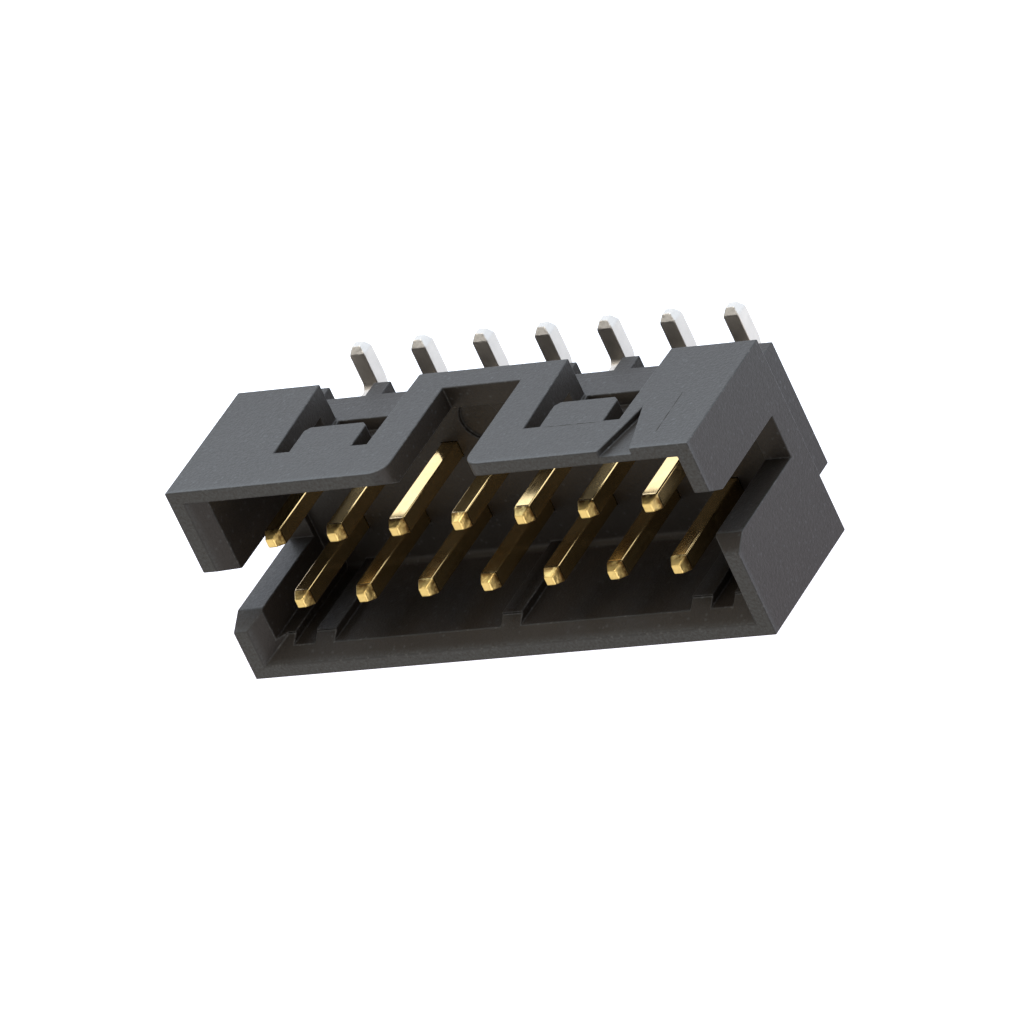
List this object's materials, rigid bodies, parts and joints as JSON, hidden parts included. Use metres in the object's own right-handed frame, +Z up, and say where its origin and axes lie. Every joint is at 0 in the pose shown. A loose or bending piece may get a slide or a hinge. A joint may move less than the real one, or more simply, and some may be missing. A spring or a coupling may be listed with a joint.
{
  "type": "shrouded pin header",
  "caption": "Black moulded box header for a circuit board: rows of square gilt pins inside a keyed, latched shroud with offset end slots, and bent feet for surface soldering.",
  "frame": {"origin": "on the board's surface, under the middle of the pin field", "axes": "X runs along the rows with the pin-one column at -X, -Y is the side with the key slot and the latch windows, Z is up from the board towards the mating plug"},
  "size_m": [0.0166, 0.0062, 0.0075],
  "materials": {
    "housing": "black glass-filled moulding plastic, matt with a fine grain",
    "contact": "square wire, gold-plated on the mating pin and tinned on the leg and foot"
  },
  "bodies": {
    "root": {"housing": "housing", "contact_a1": "contact", "contact_a2": "contact", "contact_a3": "contact", "contact_a4": "contact", "contact_a5": "contact", "contact_a6": "contact", "contact_a7": "contact", "contact_b1": "contact", "contact_b2": "contact", "contact_b3": "contact", "contact_b4": "contact", "contact_b5": "contact", "contact_b6": "contact", "contact_b7": "contact"}
  },
  "joints": []
}
